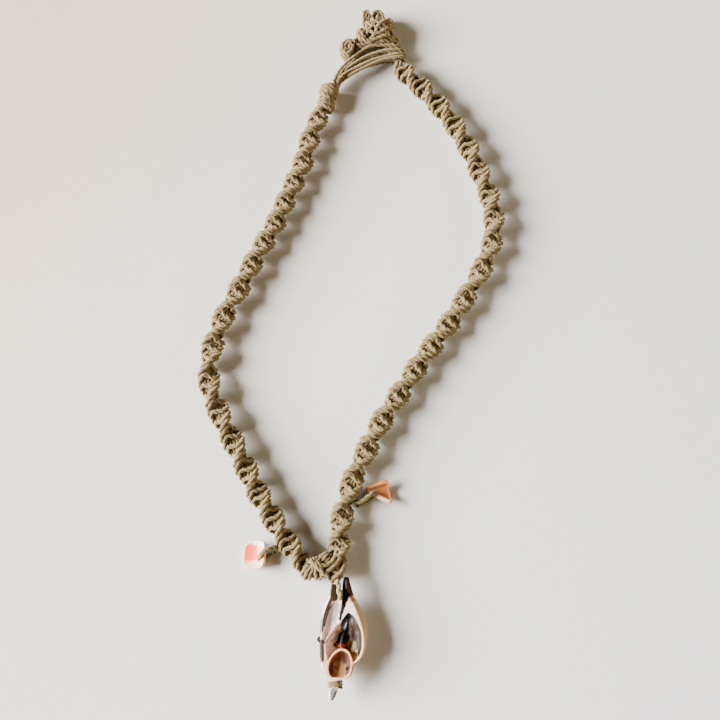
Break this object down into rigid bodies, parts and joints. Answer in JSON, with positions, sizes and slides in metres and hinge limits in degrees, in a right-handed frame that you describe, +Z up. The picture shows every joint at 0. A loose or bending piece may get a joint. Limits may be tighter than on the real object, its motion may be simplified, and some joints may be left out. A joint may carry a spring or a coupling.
{
  "type": "necklace",
  "caption": "Choker of spiral-knotted hemp cord with a button and loop closure, a cut spiral shell pendant and small tied-on shell chips, lying flat.",
  "frame": {"origin": "middle of the outline of the laid-out necklace, on the surface that it lies on", "axes": "+Y from the pendant towards the closure, +X to the right as seen from above, +Z up off the surface"},
  "size_m": [0.1001, 0.2341, 0.0086],
  "materials": {
    "hemp_cord": "natural unbleached hemp, two-ply, matt with a slight sheen",
    "pendant_shell": "cut and ground sea shell, polished cut, cream to pink with a dark pillar",
    "pale_chip": "tumbled shell piece, cream and salmon pink",
    "tan_chip": "tumbled shell piece, orange tan and cream"
  },
  "bodies": {
    "root": {"left_sinnet": "hemp_cord", "right_sinnet": "hemp_cord", "end_knot": "hemp_cord", "button_loop": "hemp_cord", "button_knot": "hemp_cord", "centre_knot": "hemp_cord", "hanger_cord": "hemp_cord", "pendant_shell": "pendant_shell", "tip_wrap": "hemp_cord", "left_chip": "pale_chip", "left_chip_tie": "hemp_cord", "right_chip": "tan_chip", "right_chip_tie": "hemp_cord"}
  },
  "joints": []
}
